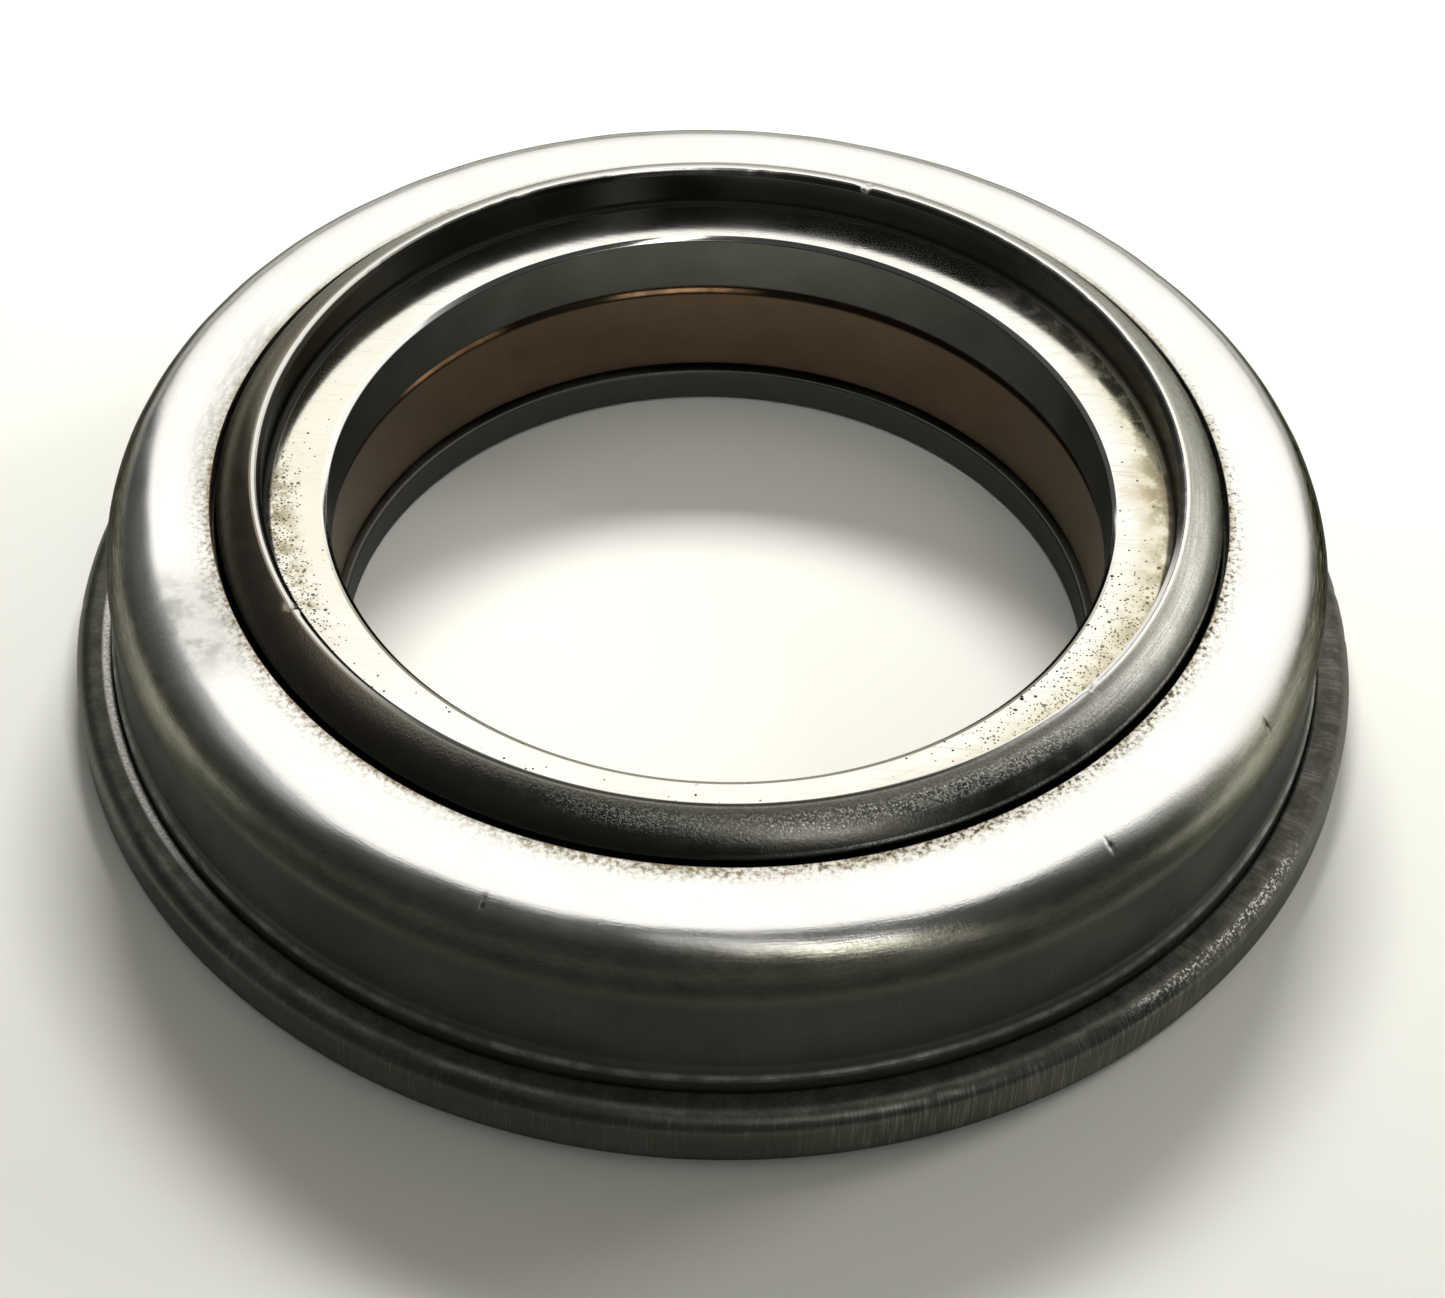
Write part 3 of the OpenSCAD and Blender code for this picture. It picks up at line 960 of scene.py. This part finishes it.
    left = f.times(f.near("pits_left", 5, 14), f.out(0, front_bore_r + 1.6, recess_r - 1.2))
    right = f.times(f.near("pits_right", 4, 18), f.out(0, front_bore_r + 0.6, recess_r - 1, 0.3, 1))
    density = f.add((left, 1.35), (right, 0.9), (f.side(-95, 0.4, 0.9), f.out(recess_r, -2.6, -1), 0.12),
                    f.ramp(f.side(90, 0, 0.6), 0, 1, 0.03, 0))
    density = f.calc("MINIMUM", density, 0.97)
    pitted = f.times(f.most(f.value("pits", Per_mm=3.1, Amount=density),
                            f.value("pits", Per_mm=3.7, Amount=density),
                            f.value("pits", Per_mm=1.8, Amount=f.times(density, 0.6))), on_floor)
    etched = f.most(left, (right, f.out(recess_r, -3.4, -0.6), 0.9),
                    (f.side(-5, 0.4, 0.95), f.out(recess_r, -3.6, -1.2), 0.75))
    halo = f.times(etched, on_floor, f.ramp(f.mix(0.55, grain, mottle), 0.3, 0.62),
                   f.ramp(on_right, 0, 1, 0.85, 0.6))
    warm = f.add(
        (on_right, f.out(recess_r, -4.4, -1.5), on_floor, 0.6), (f.side(178, 0.7, 0.98), on_floor, 0.4))
    colour = f.coats(
        floor, (wall, wall_zone), (bore, bore_zone), (collar, outside), (sharp_colour, sharp),
        ((0.92, 0.91, 0.87), mouth_highlight),
        # Painted shade in the hollows of the two nicks.
        *(((0.06, 0.055, 0.045), f.near(name, 0.08, 0.3), 0.85) for name in ("nick_left", "nick_right")),
        ((0.88, 0.87, 0.84), bore_line, 0.8), ((0.17, 0.16, 0.115), front_edge_shade, 0.9),
        ((0.035, 0.03, 0.025), pitted), ((0.72, 0.665, 0.48), warm), ((0.42, 0.36, 0.22), halo),
        ((0.045, 0.044, 0.037), corner_shade, f.ramp(on_right, 0, 1, 0.95, 0.6)))

    rough = f.mix(outside, f.mix(blotch, 0.08, 0.12), f.mix(mottle, 0.17, 0.27))
    rough = f.add(rough, (pitted, 0.4), (brown, 0.2), (wall_zone, 0.12), (lap, on_floor, 0.06),
                  (halo, 0.3), (bore_zone, 0.24), (corner_shade, 0.4), (mouth_highlight, 0.3))
    height = f.add((turning, 0.0012), (peel, f.ramp(outside, 0, 1, 0.0005, 0.022)),
                   (sparkle, f.side(-68, 0.7, 0.95), outside, f.out(recess_r, 2.9, 2.3), 0.016),
                   (lap, on_floor, 0.002), (lap_fine, on_floor, 0.0012), (pitted, -0.05))
    return f.finish(colour, rough, height, f.mix(mouth_highlight, 1, 0.2), edge=0.4)


# %% [markdown]
# ## The back race's steel
#
# The rim's outer wall is ground across, its top is dark and scraped on the left, and the
# underside is cleanly turned. Glints are painted on the rim's edge at the front right, and
# the wall is painted darker towards the floor as shade.

# %% Steel of the back race
def flange_steel():
    f = Finish("flange_steel")
    turning, bands = f.turned(6, 9, 2), f.turned(1.1, 3, 7)
    ground = f.value("axial_marks", Round=330, Length=0.25, Seed=3)
    blotch, mottle = f.clouds(0.09, 0.35, 0.7, 2), f.clouds(0.7, 0.3, 0.75, 6)
    peel, grain = f.grain(2.4, 3, 0.6), f.grain(3.6, 4, 0.75)
    grainy = f.ramp(grain, 0.3, 0.6)
    outside = f.out(rim_r, -1.7, -1.2)
    on_rim_top = f.times(f.up(rim_h, -0.5, -0.12), f.out(shell_foot_r, 0, 0.3))
    scraped = f.times(
        f.ring(shell_foot_r, 0.15, 0.9, 0.15), f.side(190, 0.8, 0.95), f.ramp(grain, 0.3, 0.7, 0.3, 1))
    # Painted glints along the rim's outer rounding at the front right.
    painted_glint = f.times(f.side(-40, 0.97, 0.995), f.ring(rim_r, -1.1, -0.35, 0.2), f.up(rim_h, -1.1, -0.7),
                    f.ramp(grain, 0.5, 0.6))
    painted_glint_coat = ((0.95, 0.94, 0.88), painted_glint)
    inside = f.calc("SUBTRACT", 1, f.out(bore_r, 0.05, 0.3))
    track = f.times(f.ring(pitch_r, -3.1, 3.1, 0.3), f.belt(back_t, -1.2, -0.05, 0.1))

    top = f.coats(
        f.mix(mottle, (0.075, 0.074, 0.061), (0.14, 0.139, 0.118)),
        ((0.045, 0.044, 0.036), f.ramp(grain, 0.35, 0.65), 0.5),
        ((0.8, 0.79, 0.74), scraped),
        ((0.32, 0.3, 0.245), f.side(-15, 0.6, 0.95), f.ramp(ground, 0.45, 0.65), grainy,
         mottle, 0.5),
        painted_glint_coat)
    colour = f.coats(
        f.mix(blotch, (0.135, 0.135, 0.116), (0.2, 0.2, 0.172)),
        ((0.155, 0.155, 0.132), bands, 0.5),
        ((0.33, 0.325, 0.28), f.ramp(ground, 0.52, 0.75), f.ramp(blotch, 0, 1, 0.25, 0.7)),
        ((0.08, 0.079, 0.067), f.ramp(grain, 0.4, 0.7), 0.4),
        ((0.4, 0.395, 0.35), f.side(-58, 0.88, 0.99), f.ramp(ground, 0.48, 0.65), grainy, outside, 0.55),
        painted_glint_coat, (top, on_rim_top),
        # Painted shade: the rim's outer wall is darker towards the floor.
        ((0.08, 0.072, 0.06), f.up(0, 0.3, 1.3, 1, 0), outside, 0.6),
        ((0.1, 0.1, 0.096), inside), ((0.62, 0.61, 0.58), track),
        (f.mix(bands, (0.42, 0.41, 0.38), (0.56, 0.55, 0.52)), f.up(0, 0.02, 0.1, 1, 0)))
    rough = f.add(f.mix(blotch, 0.3, 0.42), (on_rim_top, 0.1), (track, -0.18), (turning, 0.06))
    height = f.add((turning, 0.002), (peel, 0.004), (ground, outside, 0.004), (grain, 0.008))
    return f.finish(colour, rough, height, edge=0.6)


# %% [markdown]
# ## Bronze and ball steel
#
# The cage is brown with oil. Its chamfer is painted dark as shade, with painted highlights
# at two places round it. The balls are nearly mirrors.

# %% Oiled bronze of the cage
def oiled_bronze():
    f = Finish("oiled_bronze")
    turning = f.turned(5, 4, 1)
    blotch, mottle = f.clouds(0.11, 0.35, 0.68, 4), f.clouds(0.5, 0.3, 0.75, 8)
    # The chamfer is painted dark as shade, with painted highlights at two places round it.
    chamfer = f.times(f.belt(cage_high_z, -0.62, -0.02, 0.08), f.out(cage_bore_r, 0.7, 0.5))
    chamfer_highlight = f.times(f.add(f.side(97, 0.97, 0.999), f.side(138, 0.975, 0.999)),
                   f.belt(cage_high_z, -0.42, -0.12, 0.06), f.ramp(mottle, 0, 1, 0.5, 1))
    oil = f.times(f.clouds(0.22, 0.58, 0.72, 12), 0.25)
    colour = f.coats(
        f.mix(blotch, (0.13, 0.089, 0.055), (0.17, 0.118, 0.076)),
        ((0.11, 0.078, 0.052), mottle, 0.4), ((0.13, 0.09, 0.056), turning, 0.35),
        (f.mix(chamfer_highlight, (0.035, 0.026, 0.018), (0.78, 0.48, 0.26)), chamfer), ((0.07, 0.05, 0.035), oil))
    rough = f.add(f.mix(blotch, 0.3, 0.42), (turning, 0.1), (oil, -0.12))
    return f.finish(colour, rough, f.add((turning, 0.003), (mottle, 0.002)))


# %% Polished steel of the balls
def ball_steel():
    f = Finish("ball_steel")
    haze, scuff = f.clouds(0.5, 0.3, 0.8, 1), f.lapped(0.9, 3, 0.3)
    colour = f.mix(haze, (0.74, 0.74, 0.73), (0.8, 0.8, 0.8))
    rough = f.add(f.mix(haze, 0.06, 0.12), (f.ramp(scuff, 0.6, 0.85), 0.1))
    return f.finish(colour, rough, f.times(scuff, 0.0006))


for piece, material in ((race_back, flange_steel()), (shell_cover, pressed_steel()),
                        (race_front, collar_steel()), (cage, oiled_bronze())):
    piece.data.materials.append(material)
polished = ball_steel()
for name in ball_nodes:
    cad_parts[name].data.materials.clear()
    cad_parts[name].data.materials.append(polished)
print("materials:", [m.name for m in bpy.data.materials])

# %% [markdown]
# ## Floor, cards and light
#
# Polished steel has almost no colour of its own: it shows what stands around it. So the
# light is built as for a photograph of a watch. One lamp behind gives the floor its light
# and the ring its shadow. White cards behind and overhead show in the faces that look up,
# and a dark card in front of the ring keeps its walls dark. The cards show in reflections
# only, so from no side do they hide the ring or change its shadow.

# %% Floor
WARM_WHITE = (1.0, 0.985, 0.95, 1)


def plain(name, **values):
    """A material without a pattern. Each value sets a socket of its shader, as Base_Color does."""
    material = bpy.data.materials.new(name)
    material.use_nodes = True
    for key, value in values.items():
        material.node_tree.nodes["Principled BSDF"].inputs[key.replace("_", " ")].default_value = value
    return material


def sheet(name, corners, faces, material):
    """A flat stage piece from corners in metres."""
    mesh = bpy.data.meshes.new(name)
    mesh.from_pydata(corners, [], faces)
    mesh.materials.append(material)
    made = add_object(name, mesh)
    return made


FLOOR_Z = -0.00005  # just under the ring, so that no two faces coincide
sheet("floor", [(-2, -2, FLOOR_Z), (2, -2, FLOOR_Z), (2, 2, FLOOR_Z), (-2, 2, FLOOR_Z)], [(0, 1, 2, 3)],
      plain("pale_table", Base_Color=(0.92, 0.912, 0.835, 1), Roughness=0.8, Metallic=0.0))


# %% Cards that show in reflections only
def card(name, strength, corners, faces=None):
    """A glowing card, or a nearly black one, that only glossy reflections see."""
    material = plain(name, Base_Color=(0, 0, 0, 1), Roughness=1.0, Specular_IOR_Level=0.0,
                     Emission_Color=WARM_WHITE, Emission_Strength=strength)
    material.cycles.emission_sampling = "NONE"  # so that it lights nothing, and only shows
    made = sheet(name, corners, faces or [tuple(range(len(corners)))], material)
    made.visible_camera = made.visible_diffuse = made.visible_shadow = False
    made.visible_transmission = made.visible_volume_scatter = False


BACK, TOP, LEFT, RIGHT = 0.75, 0.9, -0.6, 0.95
card("white_card_back", 1.2,
     [(LEFT, BACK, 0.1), (RIGHT, BACK, 0.1), (RIGHT, BACK, TOP), (LEFT, BACK, TOP)])
card("white_card_top", 1.2, [(LEFT, 0.0, TOP), (-0.25, -0.15, TOP), (0.48, -0.22, TOP), (0.55, 0.05, TOP),
                             (RIGHT, 0.12, TOP), (RIGHT, BACK, TOP), (LEFT, BACK, TOP)])
card("white_card_right", 1.1,
     [(RIGHT, 0.1, 0.12), (RIGHT, BACK, 0.12), (RIGHT, BACK, TOP), (RIGHT, 0.1, TOP)])
SPOKES, INNER, OUTER = 24, 0.068, 0.6  # the dark card is a fan from just outside the rim
spread = np.radians(np.linspace(-162, -20, SPOKES))
fan = [(float(r * math.cos(a)), float(r * math.sin(a)), 0.0001) for r in (INNER, OUTER) for a in spread]
card("dark_card_front", 0.03, fan, [(i, i + SPOKES, i + SPOKES + 1, i + 1) for i in range(SPOKES - 1)])

# %% [markdown]
# ## Sky and lamps
#
# The sky is bright behind and dark in front, with one row of small bright patches. The bend
# of the shell mirrors that row as the short streak of light on its front. The lamps give the
# floor its light and its shadows, and they don't show in the metal.

# %% World
world = bpy.data.worlds.new("studio")
bpy.context.scene.world = world
world.use_nodes = True
t = Nodes(world.node_tree)
way = t.put("ShaderNodeTexCoord")["Generated"]
x, y, z = t.split(way)
PATCH_WIDE, PATCH_SOFT = 2.5, 3  # degrees from a patch's middle to its edge, and beyond
# Each patch's direction in degrees round and up, and its strength.
lamp_row = ((-92, 67, 0.9), (-82, 60, 1.3), (-74, 54, 2.4), (-68, 48, 4.0),
            (-64, 43, 5.0), (-59, 36, 2.6), (-54, 28, 1.5), (-49, 16, 0.9))


def patch(azimuth, elevation, strength):
    """A round patch of light in the sky."""
    a, e = math.radians(azimuth), math.radians(elevation)
    middle = (math.cos(a) * math.cos(e), math.sin(a) * math.cos(e), math.sin(e))
    return t.ramp(t.vector("DOT_PRODUCT", way, middle), math.cos(math.radians(PATCH_WIDE + PATCH_SOFT)),
                  math.cos(math.radians(PATCH_WIDE)), 0.0, strength)


low_left = t.times(t.ramp(x, -0.4, -0.62), t.ramp(z, 0.78, 0.55))
sky = t.times(t.ramp(t.add(y, 0.05), -0.1, 0.1, 0.0, 0.34), t.ramp(low_left, 0.0, 1.0, 1.0, 0.08))
front_band = t.times(t.ramp(z, 0.02, 0.3, 0.05, 0.0), t.ramp(y, -0.2, 0.1, 1.0, 0.0))
level = t.most(t.add(sky, front_band, 0.05), *(patch(*place) for place in lamp_row))
background = t.tree.nodes["Background"].inputs
t.tree.links.new(level, background["Strength"])
background["Color"].default_value = WARM_WHITE


# %% Lamps
def lamp(name, kind, place, watts, **settings):
    """A lamp at `place` that shines at the origin and doesn't show in the metal."""
    data = bpy.data.lights.new(name, kind)
    data.energy = watts
    for key, value in settings.items():
        setattr(data, key, value)
    made = add_object(name, data)
    made.location = place
    made.rotation_euler = (Vector() - Vector(place)).to_track_quat("-Z", "Y").to_euler()
    made.visible_glossy = False


lamp("softbox", "AREA", (0, 0.32, 0.31), 2.15, shape="RECTANGLE", size=0.18, size_y=0.07)
lamp("side_lamp", "AREA", (0.42, 0.24, 0.26), 0.75, shape="RECTANGLE", size=0.12, size_y=0.12)
lamp("bore_fill", "SPOT", (0, 0, 0.3), 0.55, spot_size=math.radians(14), spot_blend=0.3,
     shadow_soft_size=0.01)
print("lamps:", [data.name for data in bpy.data.lights])

# %% [markdown]
# ## Does it match?
#
# Each picture point names a thing on the bearing. The finished vertices of that thing are
# sent through the camera, the hidden ones are left out, and the one nearest the point shows
# how far the model is from that point. It can't show a slip along the edge.

# %% Points and sizes
finished = {piece.name: np.array([v.co for v in piece.data.vertices])
            for piece in (race_back, shell_cover, race_front)}
finished_trees = [ray_tree(piece) for piece in (race_back, shell_cover, race_front, cage)]
CLEAR = 0.00005  # a ray may stop this short of the place it aims at


def in_view(place):
    """True if nothing stands between the camera and a place in metres."""
    start = camera.matrix_world.translation
    way = Vector(place) - start
    hits = [tree.ray_cast(start, way.normalized(), way.length - CLEAR)[0] for tree in finished_trees]
    return all(hit is None for hit in hits)


def nearest_shown(xyz, point):
    """The pixel nearest to `point` among the vertices that show."""
    pixels = pixel_of(xyz)
    for i in np.argsort(np.hypot(*(pixels - point).T)):
        if in_view(xyz[i]):
            return pixels[i]
    return pixels[0]


def circle(name, r, z, reach=0.2):
    """Vertices of a finished piece within `reach` mm of the circle of radius r at height z."""
    xyz = finished[name] / MM
    close = (np.abs(np.hypot(xyz[:, 0], xyz[:, 1]) - r) < reach) & (np.abs(xyz[:, 2] - z) < reach)
    return finished[name][close]


everything = np.concatenate([pixel_of(xyz) for xyz in finished.values()])
errors = {}
for name, axis, end in (("left", 0, min), ("right", 0, max), ("top", 1, min), ("bottom", 1, max)):
    errors[name] = [0, 0]
    errors[name][axis] = end(everything[:, axis]) - edges[name]
lines = {"bore": circle("race_front", front_bore_r + 0.4, floor_z),
         "collar_edge": circle("race_front", mouth_r, collar_z),
         "flat_inner_edge": circle("shell_cover", hole_r, face_z)}
for name, point in points.items():
    line = next((xyz for start, xyz in lines.items() if name.startswith(start)), None)
    shown = pixel_of(where(name) * MM)[0] if line is None else nearest_shown(line, point)
    errors[name] = [float(v) for v in shown - point]
print({name: (round(float(x), 1), round(float(y), 1)) for name, (x, y) in errors.items()})
